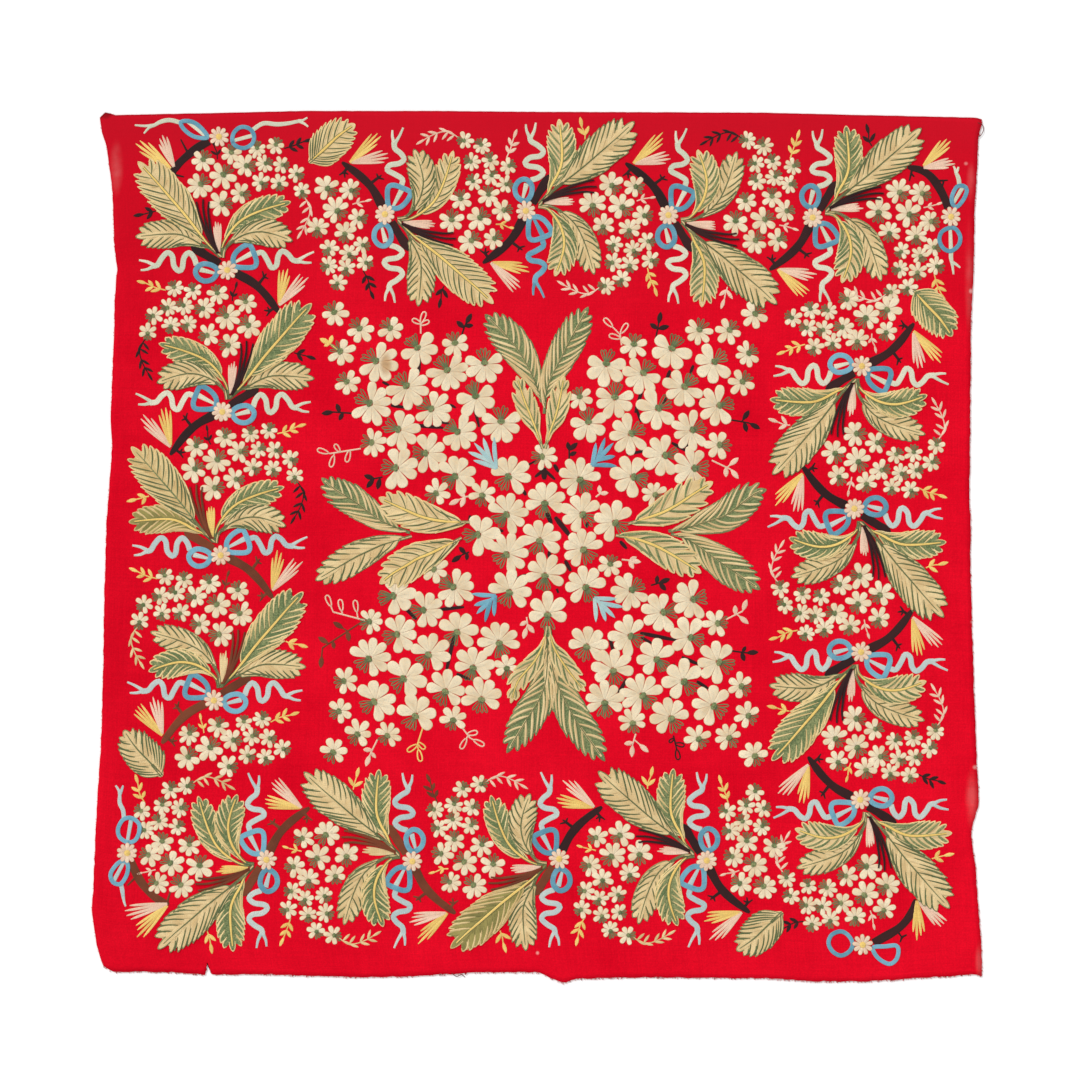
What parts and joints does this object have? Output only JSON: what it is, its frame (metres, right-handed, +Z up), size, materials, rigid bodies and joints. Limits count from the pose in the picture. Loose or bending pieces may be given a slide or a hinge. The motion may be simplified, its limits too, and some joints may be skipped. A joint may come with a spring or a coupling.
{
  "type": "embroidered wrapping cloth",
  "caption": "Square red wool wrapping cloth lying flat, chain-stitched with blossom bunches, leaf sprays, bows and ribbons in a border round a floral centre.",
  "frame": {"origin": "middle of the cloth's extent, on its flat underside", "axes": "+X to the cloth's right and +Y to its top edge as it lies face up, +Z up out of its face"},
  "size_m": [1.068, 1.046, 0.0026],
  "materials": {
    "red_wool": "matt felted wool cloth",
    "cream_yarn": "chain-stitched yarn with a soft sheen",
    "leaf_yarn": "chain-stitched yarn with a soft sheen",
    "green_yarn": "chain-stitched yarn with a soft sheen",
    "yellow_yarn": "chain-stitched yarn with a soft sheen",
    "pink_yarn": "chain-stitched yarn with a soft sheen",
    "blue_yarn": "chain-stitched yarn with a soft sheen",
    "pale_yarn": "chain-stitched yarn with a soft sheen",
    "dark_yarn": "chain-stitched yarn with a soft sheen"
  },
  "bodies": {
    "root": {"wrapping_cloth": "red_wool"}
  },
  "joints": []
}
